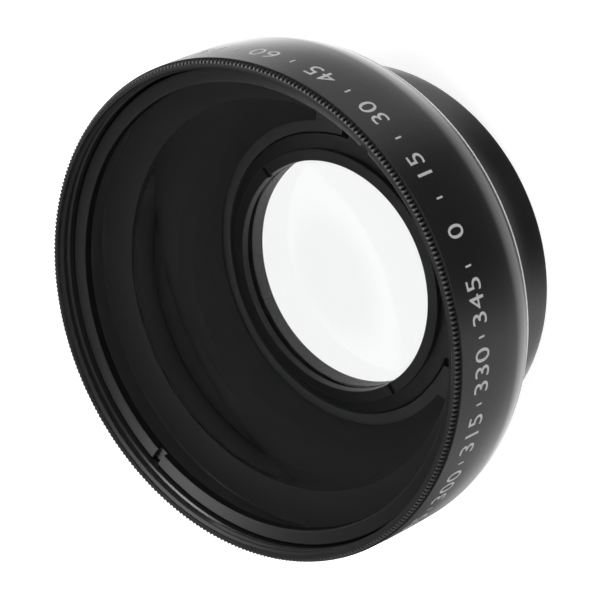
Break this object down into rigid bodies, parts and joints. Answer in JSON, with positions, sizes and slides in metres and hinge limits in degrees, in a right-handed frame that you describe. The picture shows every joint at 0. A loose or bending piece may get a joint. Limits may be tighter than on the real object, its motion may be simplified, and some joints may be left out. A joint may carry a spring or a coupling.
{
  "type": "wide-angle conversion lens",
  "caption": "Round black screw-on wide-angle conversion lens with a knurled rim, a large front glass and a detachable close-up rear lens ring.",
  "frame": {"origin": "centre of the rear mount thread's end face, which the lens stands on", "axes": "+Z along the optical axis towards the front glass; X and Y across it"},
  "size_m": [0.0754, 0.0754, 0.0366],
  "materials": {
    "barrel_black": "satin",
    "front_ring_satin": "satin",
    "front_glass": "polished",
    "rear_ring_black": "satin",
    "inner_ring_black": "matte",
    "close_up_glass": "polished"
  },
  "bodies": {
    "close_up_unit": {"macro_ring": "rear_ring_black", "macro_retaining_ring": "inner_ring_black", "macro_element": "close_up_glass"},
    "front_glass": {"front_element": "front_glass"},
    "wide_unit": {"main_barrel": "barrel_black", "front_retaining_ring": "front_ring_satin"}
  },
  "joints": [
    {"name": "wide_unit_rise", "type": "slide", "parent": "close_up_unit", "child": "front_glass", "axis": [0, 0, 1], "range_m": [0, 0.00282]},
    {"name": "wide_unit_turn", "type": "hinge", "parent": "front_glass", "child": "wide_unit", "pos_m": [0, 0, 0.022], "axis": [0, 0, 1], "range_deg": [0, 1350]}
  ],
  "couplings": [
    {"joint": "wide_unit_rise", "follows": "wide_unit_turn", "m_per_rad": 0.00011937}
  ]
}
